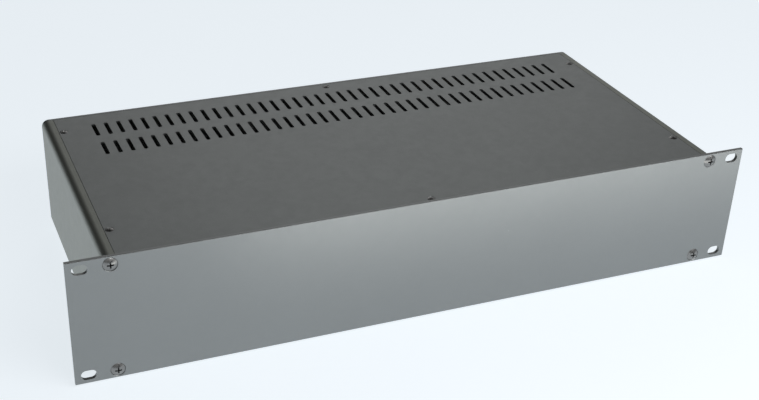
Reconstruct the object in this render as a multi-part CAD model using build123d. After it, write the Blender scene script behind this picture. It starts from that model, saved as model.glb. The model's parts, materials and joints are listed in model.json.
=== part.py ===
from build123d import *
import os
from math import radians, sqrt, tan

# Two-channel power amplifier in a 2U rack case, with every physical piece a solid of its own.
# Units are millimetres. +X is to the right as seen from the front, +Y goes to the back, +Z is up.
# The origin is the centre of the four rack slots, on the back face of the front panel,
# which is the plane that meets the rack rails.

# ---- case: rack standard and body ----
PANEL_W, PANEL_H, PANEL_T = 482.6, 88.1, 2.5
RACK_X, RACK_Z = 465.1 / 2, 76.2 / 2
RACK_SLOT_L, RACK_SLOT_W = 10.0, 6.8
BODY_W, BODY_H, BODY_D = 436.4, 84.4, 206.0
REAR_T, COVER_T, WEB_T = 2.5, 1.5, 2.5
BOSS = 8.0  # side of the square corner boss that takes the screws of both end panels
CORNER_R = 5.0  # rounding of the long outer edges
LEDGE_W, LEDGE_T = 6.2, 4.0  # inner ledge that carries a cover
SEAM = 0.3  # gap between a cover and what surrounds it
SOFT_EDGE = 0.4  # breaking of both end panels' outer edges

HALF_W, HALF_H, REAR_OUT = BODY_W / 2, BODY_H / 2, BODY_D
REAR_IN = BODY_D - REAR_T  # inner face of the rear panel
ROOF = HALF_H - COVER_T  # inner face of the top cover
FLOOR = -ROOF  # inner face of the bottom cover
BOSS_IN = HALF_W - BOSS
LEDGE_IN = BOSS_IN - LEDGE_W

# ---- vents: two rows of long slots across each cover ----
VENT_COUNT, VENT_PITCH = 42, 9.0
VENT_W, VENT_L = 3.0, 20.0
VENT_ROWS_Y = (146.4, 177.6)

# ---- screws: thread radius, head radius, height of the dome, depth of the rim below the surface ----
M6 = (3.0, 5.6, 0.4, 0.1)
M5 = (2.5, 4.6, 1.6, 0.3)
M3 = (1.5, 2.8, 0.6, 0.15)
FIT = 0.03  # radial room between a screw and its hole
M3_HOLE, M5_HOLE = M3[0] + FIT, M5[0] + FIT
PAN_R, PAN_H = 2.8, 1.9
PORT_X, PORT_Z = HALF_W - 4.0, HALF_H - 3.8
REAR_PORT_X, REAR_PORT_Z = HALF_W - CORNER_R, HALF_H - CORNER_R
PANEL_SCREW_L, REAR_SCREW_L, COVER_SCREW_L, FLANGE_SCREW_L = 12.0, 10.0, 5.0, 6.0
COVER_SCREW_X, COVER_SCREW_Y = 206.6, (32.8, 181.0)
BAR, BAR_GAP = 8.0, 0.8  # section of a tie bar, and its gap to the panel beside it
BAR_Y = (BAR_GAP + BAR / 2, REAR_IN - BAR_GAP - BAR / 2)
BAR_SCREW_X = 207.2
FOOT_X, FOOT_Y = 194.0, (22.0, 184.0)
FOOT_R, FOOT_H, FOOT_SINK_R, FOOT_SEAT = 7.0, 3.6, 3.4, 1.2

# ---- boards ----
BOARD_T, STANDOFF_H, STANDOFF_AF = 1.6, 8.0, 5.5
BOARD_Z = FLOOR + STANDOFF_H
BOARD_TOP = BOARD_Z + BOARD_T
BOARD_INSET = 4.0  # from a board's edge to its fixing holes
AMP_BOARD_Y = (70.0, 121.7)
SUPPLY_X, SUPPLY_Y = (-56.0, 86.0), (11.0, 67.0)
CAPACITOR_X, CAPACITOR_Y, CAPACITOR_R, CAPACITOR_H = (-36.0, -2.0, 32.0, 66.0), 36.0, 15.0, 50.0
RECTIFIER_X, RECTIFIER_Y, RECTIFIER_SIDE, RECTIFIER_H = (-155.0, -105.0), 36.0, 28.5, 10.0
TERMINAL_AT, TERMINAL_W, TERMINAL_T, TERMINAL_H = 9.0, 6.2, 0.8, 8.0
INPUT_X, INPUT_Y, INPUT_Z = (-198.0, -46.0), 174.0, 24.0
# what stands on an amplifier board, with X from the board's left end, and the two plugs on the supply board
FILTER_X, FILTER_Y, FILTER_R, FILTER_H = (22.0, 36.0), 80.0, 5.0, 18.0
RESISTOR_W, RESISTOR_Y, RESISTOR_H = 7.0, (90.0, 112.0), 8.0
RELAY_X, RELAY_Y, RELAY_H = (56.0, 75.0), (74.0, 86.0), 15.0
COIL_X, COIL_Y, COIL_R, COIL_HOLE_R, COIL_H = 96.0, 81.0, 8.0, 4.0, 10.0
PLUG_X, PLUG_Y, PLUG_W, PLUG_H = (-14.0, 44.0), (56.0, 64.0), 16.0, 10.0

# ---- heatsinks and output transistors ----
SINK_X = (-200.0, -46.0)  # left end of each heatsink and of the amplifier board beside it
SINK_W, SINK_Z = 138.0, 34.0
SINK_Y, SINK_BASE, SINK_DEPTH = 124.0, 6.0, 38.0
FIN_COUNT, FIN_T = 17, 2.0
BRACKET_T, BRACKET_W, BRACKET_FOOT, BRACKET_H = 2.0, 12.0, 14.0, 16.5
BRACKET_X = (14.0, SINK_W - 14.0)  # from the heatsink's left end
BRACKET_SCREW_Z = FLOOR + 13.2
TRANSISTOR_X = (24.0, 54.0, 84.0, 114.0)  # from the heatsink's left end
TRANSISTOR_W, TRANSISTOR_H, TRANSISTOR_T, TRANSISTOR_Z = 15.6, 20.0, 4.9, -10.0
TRANSISTOR_SCREW_Z = TRANSISTOR_Z + 5
PAD_T, LEAD_PITCH, LEAD_W, LEAD_T = 0.3, 5.45, 1.2, 0.6
LEAD_Y = SINK_Y - PAD_T - TRANSISTOR_T + 1.2

# ---- toroidal transformer ----
TOROID_X, TOROID_Y = 148.0, 66.0
TOROID_R, TOROID_HOLE_R, TOROID_H, TOROID_EDGE = 54.0, 20.0, 52.0, 12.0
TOROID_PAD_T, TOROID_PAD_R, TOROID_PAD_HOLE_R = 2.0, 48.0, 6.0
DISH_R, DISH_T, DISH_RIM, DISH_RISE = 38.0, 1.5, 2.0, 0.8
TOROID_Z = FLOOR + TOROID_PAD_T

# ---- connectors on the rear panel; all but the earth stud are at its mid-height ----
INLET_X, SWITCH_X, EARTH_X, EARTH_Y, EARTH_Z = 138.0, 184.0, 104.0, (190.0, 220.0), -20.0
SPEAKER_X, POST_X = (4.0, 74.0), (-26.0, 44.0)
GROUND_X, POT_X, XLR_X = -58.0, (-114.0, -86.0), (-182.0, -146.0)
FLANGE_W, FLANGE_H, FLANGE_T, FLANGE_R = 26.0, 31.0, 2.0, 3.0
FLANGE_HOLE_R, FLANGE_SCREW_X, FLANGE_SCREW_Z = 12.0, 9.5, 12.0
BARREL_R = FLANGE_HOLE_R - 0.2
INLET_BODY, SWITCH_BODY, OPENING = (14.3, 14.8), (10.8, 13.9), 0.2  # half sizes, and the room round them
INLET_SCREW_X, INLET_SCREW_L, GROUND_SCREW_Z = 20.0, 8.0, 9.5
RUN = 0.05  # radial room of a shaft that turns or slides in its hole
FREE = 0.4  # gap round a piece that moves without a bearing
POST_PITCH = 19.05  # standard spacing of twin 4 mm plugs
POST_BORE_R, POST_BORE_L, POST_R, POST_START, POST_END = 2.05, 16.0, 3.0, 186.0, 225.5
POST_PLATE, COLLAR_R = (17.0, 36.0, 4.0), POST_R + 1.95  # insulating plate: width, height, corner radius
CAP_R, CAP_FLUTES, CAP_FLUTE_R = 7.0, 14, 1.0
POT_R, POT_BUSH_R, POT_START, POT_TAGS_Z = 8.0, 3.6, 190.0, (-7.0, -3.0)
SHAFT_R, SHAFT_START, SHAFT_END = 2.5, 195.0, 220.0
KNOB_R, KNOB_Y, KNOB_END, KNOB_FLUTES, KNOB_FLUTE_R = 7.5, 213.0, 224.0, 20, 0.8
POINTER = (0.5, 0.6)  # half the width of a knob's pointer groove, and its depth
SLIDE_BODY, SLIDE_WELL, SLIDE_Y, SLIDE_WELL_Y = (5.5, 12.5), (5.0, 3.2), 196.0, 198.0
LEVER_SLOT, LEVER_W, LEVER_HALF_H, LEVER_START = (4.8, 2.6), 4.0, 2.1, 200.0
ROCKER_TILT = 12.0  # the rocker rests this far past its middle, and ends as far beyond it
ROCKER_PIVOT_Y = 203.0


# ---- basic shapes ----
def block(x0, x1, y0, y1, z0, z1):
    """A box between two opposite corners."""
    centre = Pos((x0 + x1) / 2, (y0 + y1) / 2, (z0 + z1) / 2)
    return centre * Box(x1 - x0, y1 - y0, z1 - z0)


def across(x, half_w, half_h, y0, y1):
    """A box along Y at mid-height, from half its width and height."""
    return block(x - half_w, x + half_w, y0, y1, -half_h, half_h)


def rod_x(y, z, r, x0, x1):
    """A round bar along X."""
    return Pos((x0 + x1) / 2, y, z) * Rot(0, 90, 0) * Cylinder(r, x1 - x0)


def rod_y(x, z, r, y0, y1):
    """A round bar along Y."""
    return Pos(x, (y0 + y1) / 2, z) * Rot(90, 0, 0) * Cylinder(r, y1 - y0)


def rod_z(x, y, r, z0, z1):
    """A round bar along Z."""
    return Pos(x, y, (z0 + z1) / 2) * Cylinder(r, z1 - z0)


def slab(outline, y0, y1):
    """A flat outline drawn in X and Z, made solid from y0 to y1."""
    return Pos(0, y1, 0) * Rot(90, 0, 0) * extrude(outline, y1 - y0, dir=(0, 0, 1))


def hex_y(x, z, flats, y0, y1):
    """A hexagonal bar along Y."""
    return slab(Pos(x, z) * RegularPolygon(flats / 2, 6, major_radius=False), y0, y1)


def turned(points):
    """A solid of revolution about Z from an outline in radius and height."""
    return revolve(Plane.XZ * make_face(Polyline(*points, close=True)), Axis.Z)


def joined(shapes):
    """Overlapping solids made into one."""
    first, *rest = shapes
    return first + rest


def apart(shapes):
    """Separate solids that share one node."""
    return Compound(children=[solid for shape in shapes for solid in shape.solids()])


def mirrored_x(shape):
    return mirror(shape, about=Plane.YZ)


def mirrored_z(shape):
    return mirror(shape, about=Plane.XY)


# ---- fasteners, drawn with their head up, the rim or seat at the origin and the shank along -Z ----
FRONT, BACK, UP, DOWN = Rot(90, 0, 0), Rot(-90, 0, 0), Rot(0, 0, 0), Rot(180, 0, 0)


def cross_recess(size, depth):
    """The tapered cross that takes a screwdriver, cut down from its own top."""
    half, tip, width = size / 2, size / 5, size * 0.2
    outline = Polygon((-half, 0.1), (half, 0.1), (tip, -depth), (-tip, -depth), align=None)
    arm = slab(outline, -width / 2, width / 2)
    return arm + Rot(0, 0, 90) * arm


def dome_arc(radius, rim, top):
    """The arc of a shallow dome, from its rim to its top on the axis."""
    centre = (top**2 - rim**2 - radius**2) / (2 * (top - rim))
    half_way = centre + sqrt((top - centre) ** 2 - (radius / 2) ** 2)
    return ThreePointArc((radius, rim), (radius / 2, half_way), (0, top))


def sunk_screw(kind, length):
    """A raised countersunk screw with a cross recess. Its rim lies below the surface at the origin."""
    thread, head, dome, sink = kind
    side = Polyline((0, dome), (0, -length), (thread * 0.8, -length), (thread, -length + thread * 0.4),
                    (thread, thread - head), (head, 0))
    crown = dome_arc(head, 0, dome)
    screw = revolve(Plane.XZ * make_face(side + crown), Axis.Z)
    return Pos(0, 0, -sink) * (screw - Pos(0, 0, dome) * cross_recess(head * 1.05, dome + head * 0.35))


def sunk_hole(kind, depth):
    """The hole that a countersunk screw fits, cut down from the surface."""
    thread, head, dome, sink = kind
    mouth, bore = head + sink + FIT, thread + FIT
    return turned([(0, 1), (mouth, 1), (mouth, 0), (bore, bore - mouth), (bore, -depth), (0, -depth)])


def pan_screw(length):
    """An M3 pan head screw with a cross recess."""
    thread, rim = M3[0], PAN_H * 0.5
    side = Polyline((0, PAN_H), (0, -length), (thread, -length), (thread, 0), (PAN_R, 0), (PAN_R, rim))
    crown = dome_arc(PAN_R, rim, PAN_H)
    screw = revolve(Plane.XZ * make_face(side + crown), Axis.Z)
    return screw - Pos(0, 0, PAN_H) * cross_recess(PAN_R * 1.1, PAN_H * 0.7)


def nut_y(x, z, flats, bore_r, y0, y1):
    """A hexagon nut on an axis along Y."""
    return hex_y(x, z, flats, y0, y1) - rod_y(x, z, bore_r, y0 - 1, y1 + 1)


# ---- where the fasteners go ----
PORTS = [(x, z) for x in (-PORT_X, PORT_X) for z in (-PORT_Z, PORT_Z)]
REAR_PORTS = [(x, z) for x in (-REAR_PORT_X, REAR_PORT_X) for z in (-REAR_PORT_Z, REAR_PORT_Z)]
COVER_POINTS = [(x, y) for x in (-COVER_SCREW_X, COVER_SCREW_X) for y in COVER_SCREW_Y]
COVER_POINTS += [(0, y) for y in BAR_Y]
FOOT_POINTS = [(x, y) for x in (-FOOT_X, FOOT_X) for y in FOOT_Y]
BOARDS = [(x, x + SINK_W, *AMP_BOARD_Y) for x in SINK_X] + [(*SUPPLY_X, *SUPPLY_Y)]
BRACKET_POINTS = [left + x for left in SINK_X for x in BRACKET_X]
FLANGE_X = XLR_X + SPEAKER_X
FLANGE_SCREWS = [(x + side * FLANGE_SCREW_X, -side * FLANGE_SCREW_Z) for x in FLANGE_X for side in (-1, 1)]
INLET_SCREWS = [(INLET_X + side * INLET_SCREW_X, 0.0) for side in (-1, 1)]
GROUND_SCREWS = [(GROUND_X, side * GROUND_SCREW_Z) for side in (-1, 1)]
POST_POINTS = [(x, side * POST_PITCH / 2) for x in POST_X for side in (-1, 1)]


def board_corners(x0, x1, y0, y1):
    """The four fixing points of a board."""
    inset = BOARD_INSET
    return [(x, y) for x in (x0 + inset, x1 - inset) for y in (y0 + inset, y1 - inset)]


STANDOFF_POINTS = [corner for board in BOARDS for corner in board_corners(*board)]
BRACKET_FEET = [(x, SINK_Y - BRACKET_FOOT / 2 - 1.5) for x in BRACKET_POINTS]
SUNK_POINTS = STANDOFF_POINTS + BRACKET_FEET  # countersunk screws through the bottom cover
RECTIFIER_POINTS = [(x, RECTIFIER_Y) for x in RECTIFIER_X]


# ---- case ----
def front_panel():
    plate = block(-PANEL_W / 2, PANEL_W / 2, -PANEL_T, 0, -PANEL_H / 2, PANEL_H / 2)
    plate = fillet(plate.faces().sort_by(Axis.Y)[0].edges(), SOFT_EDGE)
    for x in (-RACK_X, RACK_X):
        for z in (-RACK_Z, RACK_Z):
            plate -= slab(Pos(x, z) * SlotOverall(RACK_SLOT_L, RACK_SLOT_W), -PANEL_T - 1, 1)
    for x, z in PORTS:
        plate -= Pos(x, -PANEL_T, z) * FRONT * sunk_hole(M5, PANEL_T + 1)
    return plate


def side_extrusion():
    """The right-hand side: a web with square bosses and cover ledges along its top and bottom."""
    boss = block(BOSS_IN, HALF_W, 0, REAR_IN, HALF_H - BOSS, HALF_H)
    ledge = block(LEDGE_IN, BOSS_IN + 1, 0, REAR_IN, ROOF - LEDGE_T, ROOF)
    web = block(HALF_W - WEB_T, HALF_W, 0, REAR_IN, -HALF_H + 1, HALF_H - 1)
    profile = joined([web, boss, ledge, mirrored_z(boss), mirrored_z(ledge)])
    corners = profile.edges().filter_by(Axis.Y).group_by(Axis.X)[-1]
    profile = fillet(corners, CORNER_R)
    for z in (-PORT_Z, PORT_Z):
        profile -= rod_y(PORT_X, z, M5_HOLE, -1, PANEL_SCREW_L + 2)
    for z in (-REAR_PORT_Z, REAR_PORT_Z):
        profile -= rod_y(REAR_PORT_X, z, M3_HOLE, REAR_IN - REAR_SCREW_L, REAR_IN + 1)
    for z in (-ROOF + LEDGE_T / 2, ROOF - LEDGE_T / 2):
        for y in COVER_SCREW_Y:
            profile -= rod_z(COVER_SCREW_X, y, M3_HOLE, z - LEDGE_T, z + LEDGE_T)
        for y in BAR_Y:
            profile -= rod_z(BAR_SCREW_X, y, M3_HOLE, z - LEDGE_T, z + LEDGE_T)
    return profile


def plain_cover():
    """The top cover: a flat sheet with two rows of vent slots and six countersunk holes."""
    edge_x = BOSS_IN - SEAM
    sheet = block(-edge_x, edge_x, SEAM, REAR_IN - SEAM, ROOF, HALF_H)
    vent = extrude(Rot(0, 0, 90) * SlotOverall(VENT_L, VENT_W), COVER_T + 2)
    columns = [(i - (VENT_COUNT - 1) / 2) * VENT_PITCH for i in range(VENT_COUNT)]
    vents = [Pos(x, y, ROOF - 1) * vent for x in columns for y in VENT_ROWS_Y]
    holes = [Pos(x, y, HALF_H) * sunk_hole(M3, COVER_T + 1) for x, y in COVER_POINTS]
    return sheet - vents - holes


def bottom_cover():
    """The same sheet below, which also carries the feet, the boards and the transformer."""
    under = [Pos(x, y, -HALF_H) * DOWN * sunk_hole(M3, COVER_T + 1) for x, y in SUNK_POINTS]
    plain = [rod_z(x, y, M3_HOLE, -HALF_H - 1, FLOOR + 1) for x, y in FOOT_POINTS + RECTIFIER_POINTS]
    bolt = Pos(TOROID_X, TOROID_Y, -HALF_H) * DOWN * sunk_hole(M6, COVER_T + 1)
    return mirrored_z(plain_cover()) - under - plain - bolt


def rear_panel():
    panel = block(-HALF_W, HALF_W, REAR_IN, REAR_OUT, -HALF_H, HALF_H)
    panel = fillet(panel.edges().filter_by(Axis.Y), CORNER_R)
    panel = chamfer(panel.faces().sort_by(Axis.Y)[-1].edges(), SOFT_EDGE)
    y0, y1 = REAR_IN - 1, REAR_OUT + 1
    cuts = [rod_y(x, 0, FLANGE_HOLE_R, y0, y1) for x in FLANGE_X]
    cuts += [block(x - TAB_CUT_HALF_W, x + TAB_CUT_HALF_W, y0, y1, *TAB_CUT_Z) for x in XLR_X]
    cuts += [rod_y(x, 0, POT_BUSH_R, y0, y1) for x in POT_X]
    cuts += [rod_y(x, z, M3_HOLE, y0, y1) for x, z in FLANGE_SCREWS + INLET_SCREWS]
    cuts += [rod_y(x, z, COLLAR_R + RUN, y0, y1) for x, z in POST_POINTS]
    cuts += [across(GROUND_X, *LEVER_SLOT, y0, y1)]
    cuts += [Pos(x, REAR_OUT, z) * BACK * sunk_hole(M3, REAR_T + 1) for x, z in GROUND_SCREWS]
    for x, (half_w, half_h) in ((INLET_X, INLET_BODY), (SWITCH_X, SWITCH_BODY)):
        cuts.append(across(x, half_w + OPENING, half_h + OPENING, y0, y1))
    cuts += [rod_y(EARTH_X, EARTH_Z, M5_HOLE, y0, y1)]
    cuts += [Pos(x, REAR_OUT, z) * BACK * sunk_hole(M3, REAR_T + 1) for x, z in REAR_PORTS]
    return panel - cuts


def tie_bars():
    """Four bars across the case, whose end tongues are screwed up under the ledges."""
    bars = []
    for y in BAR_Y:
        y0, y1 = y - BAR / 2, y + BAR / 2
        bar = block(-LEDGE_IN + SEAM, LEDGE_IN - SEAM, y0, y1, ROOF - BAR, ROOF)
        tongue = block(-BOSS_IN + SEAM, BOSS_IN - SEAM, y0, y1, ROOF - BAR, ROOF - LEDGE_T)
        bar = bar + tongue - rod_z(0, y, M3_HOLE, ROOF - BAR - 1, ROOF + 1)
        for x in (-BAR_SCREW_X, BAR_SCREW_X):
            bar -= rod_z(x, y, M3_HOLE, ROOF - BAR - 1, ROOF)
        bars += [bar, mirrored_z(bar)]
    return apart(bars)


def tie_bar_screws():
    screw = DOWN * pan_screw(BAR - 0.5)
    upper = [Pos(x, y, ROOF - BAR) * screw for x in (-BAR_SCREW_X, BAR_SCREW_X) for y in BAR_Y]
    return apart(upper + [mirrored_z(s) for s in upper])


def panel_screws():
    """Large screws in the front panel, and small ones in the rear panel."""
    large, small = FRONT * sunk_screw(M5, PANEL_SCREW_L), BACK * sunk_screw(M3, REAR_SCREW_L)
    front = [Pos(x, -PANEL_T, z) * large for x, z in PORTS]
    return apart(front + [Pos(x, REAR_OUT, z) * small for x, z in REAR_PORTS])


def cover_screws():
    screw = sunk_screw(M3, COVER_SCREW_L)
    upper = [Pos(x, y, HALF_H) * screw for x, y in COVER_POINTS]
    return apart(upper + [mirrored_z(s) for s in upper])


def rubber_feet():
    foot = Cylinder(FOOT_R, FOOT_H)
    foot = fillet(foot.edges().sort_by(Axis.Z)[0], 1.0)
    foot -= Cylinder(M3_HOLE, FOOT_H + 1)
    foot -= Pos(0, 0, -FOOT_SEAT) * Cylinder(FOOT_SINK_R, FOOT_H)
    return apart([Pos(x, y, -HALF_H - FOOT_H / 2) * foot for x, y in FOOT_POINTS])


def floor_screws():
    """Screws put in from below: through the feet, and into the standoffs and heatsink brackets."""
    sunk, pan = DOWN * sunk_screw(M3, COVER_SCREW_L), DOWN * pan_screw(5)
    screws = [Pos(x, y, -HALF_H) * sunk for x, y in SUNK_POINTS]
    return apart(screws + [Pos(x, y, -HALF_H - FOOT_SEAT) * pan for x, y in FOOT_POINTS])


# ---- boards and what stands on them ----
def circuit_board(x0, x1, y0, y1):
    board = block(x0, x1, y0, y1, BOARD_Z, BOARD_TOP)
    corners = board_corners(x0, x1, y0, y1)
    return board - [rod_z(x, y, M3_HOLE, BOARD_Z - 1, BOARD_TOP + 1) for x, y in corners]


def board_standoffs():
    post = extrude(RegularPolygon(STANDOFF_AF / 2, 6, major_radius=False), STANDOFF_H)
    post -= Pos(0, 0, STANDOFF_H / 2) * Cylinder(M3_HOLE, STANDOFF_H + 1)
    return apart([Pos(x, y, FLOOR) * post for x, y in STANDOFF_POINTS])


def inner_screws():
    """Screws put in from above or from the front: boards, rectifiers, brackets and transistors."""
    short, long = pan_screw(5), pan_screw(RECTIFIER_H + COVER_T)
    screws = [Pos(x, y, BOARD_TOP) * short for x, y in STANDOFF_POINTS]
    screws += [Pos(x, y, FLOOR + RECTIFIER_H) * long for x, y in RECTIFIER_POINTS]
    screws += [Pos(x, SINK_Y - BRACKET_T, BRACKET_SCREW_Z) * FRONT * short for x in BRACKET_POINTS]
    front = SINK_Y - PAD_T - TRANSISTOR_T
    screws += [Pos(x, front, TRANSISTOR_SCREW_Z) * FRONT * pan_screw(9) for x in transistor_places()]
    return apart(screws)


def supply_board():
    return circuit_board(*SUPPLY_X, *SUPPLY_Y)


def reservoir_capacitors():
    can = Cylinder(CAPACITOR_R, CAPACITOR_H)
    can = fillet(can.edges(), 1.2)
    height = BOARD_TOP + CAPACITOR_H / 2
    return apart([Pos(x, CAPACITOR_Y, height) * can for x in CAPACITOR_X])


def bridge_rectifiers():
    """Square rectifiers screwed flat to the floor, each with four tabs."""
    side, top, made = RECTIFIER_SIDE, FLOOR + RECTIFIER_H, []
    for x, y in RECTIFIER_POINTS:
        case = Pos(x, y, FLOOR + RECTIFIER_H / 2) * Box(side, side, RECTIFIER_H)
        case = chamfer(case.edges().filter_by(Axis.Z).sort_by(Axis.X)[:1], 4)
        case -= rod_z(x, y, M3_HOLE, FLOOR - 1, top + 1)
        for tab_x in (x - TERMINAL_AT, x + TERMINAL_AT):
            for tab_y in (y - TERMINAL_AT, y + TERMINAL_AT):
                case += block(tab_x - TERMINAL_W / 2, tab_x + TERMINAL_W / 2,
                              tab_y - TERMINAL_T / 2, tab_y + TERMINAL_T / 2, top - 1, top + TERMINAL_H)
        made.append(case)
    return apart(made)


def left_amplifier_board():
    return circuit_board(SINK_X[0], SINK_X[0] + SINK_W, *AMP_BOARD_Y)


def right_amplifier_board():
    return circuit_board(SINK_X[1], SINK_X[1] + SINK_W, *AMP_BOARD_Y)


def amplifier_components():
    """Capacitors, resistors, a relay and a coil on each amplifier board, and the supply board's plugs."""
    made, top = [], BOARD_TOP
    for left in SINK_X:
        for x in FILTER_X:
            can = Pos(left + x, FILTER_Y, top + FILTER_H / 2) * Cylinder(FILTER_R, FILTER_H)
            made.append(fillet(can.edges(), 0.8))
        for x in TRANSISTOR_X:
            start = left + x - RESISTOR_W / 2
            made.append(block(start, start + RESISTOR_W, *RESISTOR_Y, top, top + RESISTOR_H))
        made.append(block(left + RELAY_X[0], left + RELAY_X[1], *RELAY_Y, top, top + RELAY_H))
        coil = Cylinder(COIL_R, COIL_H) - Cylinder(COIL_HOLE_R, COIL_H + 1)
        made.append(Pos(left + COIL_X, COIL_Y, top + COIL_H / 2) * fillet(coil.edges(), 1.0))
    for x in PLUG_X:
        made.append(block(x - PLUG_W / 2, x + PLUG_W / 2, *PLUG_Y, top, top + PLUG_H))
    return apart(made)


def input_board():
    return block(*INPUT_X, INPUT_Y - BOARD_T, INPUT_Y, -INPUT_Z, INPUT_Z)


# ---- heatsinks and output transistors ----
def transistor_places():
    return [left + x for left in SINK_X for x in TRANSISTOR_X]


def heatsink(left):
    """A plate with upright fins behind it, tapped for the brackets and the transistors."""
    back = SINK_Y + SINK_BASE
    sink = block(left, left + SINK_W, SINK_Y, back, -SINK_Z, SINK_Z)
    pitch = (SINK_W - FIN_T) / (FIN_COUNT - 1)
    for i in range(FIN_COUNT):
        x = left + i * pitch
        sink += block(x, x + FIN_T, back - 1, SINK_Y + SINK_DEPTH, -SINK_Z, SINK_Z)
    holes = [rod_y(left + x, BRACKET_SCREW_Z, M3_HOLE, SINK_Y - 1, back) for x in BRACKET_X]
    holes += [rod_y(left + x, TRANSISTOR_SCREW_Z, M3_HOLE, SINK_Y - 1, back) for x in TRANSISTOR_X]
    return sink - holes


def left_heatsink():
    return heatsink(SINK_X[0])


def right_heatsink():
    return heatsink(SINK_X[1])


def heatsink_brackets():
    made, half = [], BRACKET_W / 2
    for x, foot_y in BRACKET_FEET:
        angle = block(x - half, x + half, SINK_Y - BRACKET_FOOT, SINK_Y, FLOOR, FLOOR + BRACKET_T)
        angle += block(x - half, x + half, SINK_Y - BRACKET_T, SINK_Y, FLOOR, FLOOR + BRACKET_H)
        angle -= rod_z(x, foot_y, M3_HOLE, FLOOR - 1, FLOOR + BRACKET_T + 1)
        made.append(angle - rod_y(x, BRACKET_SCREW_Z, M3_HOLE, SINK_Y - BRACKET_T - 1, SINK_Y + 1))
    return apart(made)


def output_transistors():
    """Flat power transistors, each with three legs down to the board."""
    made, half = [], TRANSISTOR_W / 2
    back = SINK_Y - PAD_T
    bottom = TRANSISTOR_Z - TRANSISTOR_H / 2
    for x in transistor_places():
        body = block(x - half, x + half, back - TRANSISTOR_T, back, bottom, bottom + TRANSISTOR_H)
        body = chamfer(body.edges().filter_by(Axis.X).group_by(Axis.Y)[0], 0.6)
        for leg in (-LEAD_PITCH, 0, LEAD_PITCH):
            x0, y0 = x + leg - LEAD_W / 2, LEAD_Y - LEAD_T / 2
            body += block(x0, x0 + LEAD_W, y0, y0 + LEAD_T, BOARD_TOP, bottom + 1)
        made.append(body - rod_y(x, TRANSISTOR_SCREW_Z, M3_HOLE, back - TRANSISTOR_T - 1, back + 1))
    return apart(made)


def transistor_pads():
    """Insulating pads, a millimetre larger than the transistors all round."""
    made, half_w, half_h = [], TRANSISTOR_W / 2 + 1, TRANSISTOR_H / 2 + 1
    low, high = TRANSISTOR_Z - half_h, TRANSISTOR_Z + half_h
    for x in transistor_places():
        pad = block(x - half_w, x + half_w, SINK_Y - PAD_T, SINK_Y, low, high)
        made.append(pad - rod_y(x, TRANSISTOR_SCREW_Z, M3_HOLE, SINK_Y - 1, SINK_Y + 1))
    return apart(made)


# ---- transformer ----
def transformer_winding():
    """The taped ring of the transformer, with well rounded edges."""
    ring = Cylinder(TOROID_R, TOROID_H) - Cylinder(TOROID_HOLE_R, TOROID_H + 1)
    outer = ring.edges().filter_by(GeomType.CIRCLE).sort_by(SortBy.RADIUS)[-2:]
    ring = fillet(outer, TOROID_EDGE)
    return Pos(TOROID_X, TOROID_Y, TOROID_Z + TOROID_H / 2) * ring


def transformer_pads():
    pad = Cylinder(TOROID_PAD_R, TOROID_PAD_T) - Cylinder(TOROID_PAD_HOLE_R, TOROID_PAD_T + 1)
    heights = (FLOOR + TOROID_PAD_T / 2, TOROID_Z + TOROID_H + TOROID_PAD_T / 2)
    return apart([Pos(TOROID_X, TOROID_Y, z) * pad for z in heights])


def transformer_dish():
    """The pressed steel dish that clamps the transformer down."""
    hole, inner, top = M6[0] + FIT, DISH_R - DISH_RIM, DISH_T + DISH_RISE
    dish = turned([(hole, 0), (DISH_R, 0), (DISH_R, top), (inner, top), (inner, DISH_T), (hole, DISH_T)])
    return Pos(TOROID_X, TOROID_Y, TOROID_Z + TOROID_H + TOROID_PAD_T) * dish


def transformer_bolt():
    """The bolt up through the transformer, and its nut."""
    seat, height, flats = TOROID_Z + TOROID_H + TOROID_PAD_T + DISH_T, 5.0, 10.0
    bolt = Pos(TOROID_X, TOROID_Y, -HALF_H) * DOWN * sunk_screw(M6, seat + 8 + HALF_H)
    nut = extrude(RegularPolygon(flats / 2, 6, major_radius=False), height)
    nut -= Pos(0, 0, height / 2) * Cylinder(M6[0] + FIT, height + 1)
    return apart([bolt, Pos(TOROID_X, TOROID_Y, seat) * nut])


# ---- mains entry: inlet with a fuse drawer, and the power switch ----
PIN_X, PIN_Z, EARTH_PIN_Z, PIN_T, PIN_H, PIN_BACK = 7.0, 3.5, 7.5, 2.0, 4.0, 174.0
INLET_FLANGE, INLET_BACK, INLET_FACE = (50.0, 33.0, 3.0), 178.0, REAR_OUT + 3.0
RECESS_HALF_W, RECESS_Z, RECESS_Y, RECESS_KEY = 12.0, (-3.5, 13.3), 191.0, 4.5
DRAWER_HALF_W, DRAWER_Z, DRAWER_Y, DRAWER_END = 11.0, (-13.4, -6.9), 185.0, 209.6
DRAWER_WALL, GRIP_HALF_W, GRIP = 1.5, 4.0, 1.2
FUSE_R, FUSE_L, FUSE_CAP_L = 2.5, 20.0, 5.0
SWITCH_BEZEL, BEZEL_T, SWITCH_BACK = (25.0, 32.0, 1.5), 2.0, 182.0
SWITCH_WELL, SWITCH_WELL_Y = (8.4, 11.7), 194.0
ROCKER_HALF_W, ROCKER_HALF_H, ROCKER_VALLEY, ROCKER_PEAK = 8.0, 10.3, 3.6, 5.3
KEEL_HALF_H, KEEL_Y, TRUNNION_R, TRUNNION_X = 4.0, -4.0, 1.5, 9.4


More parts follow.
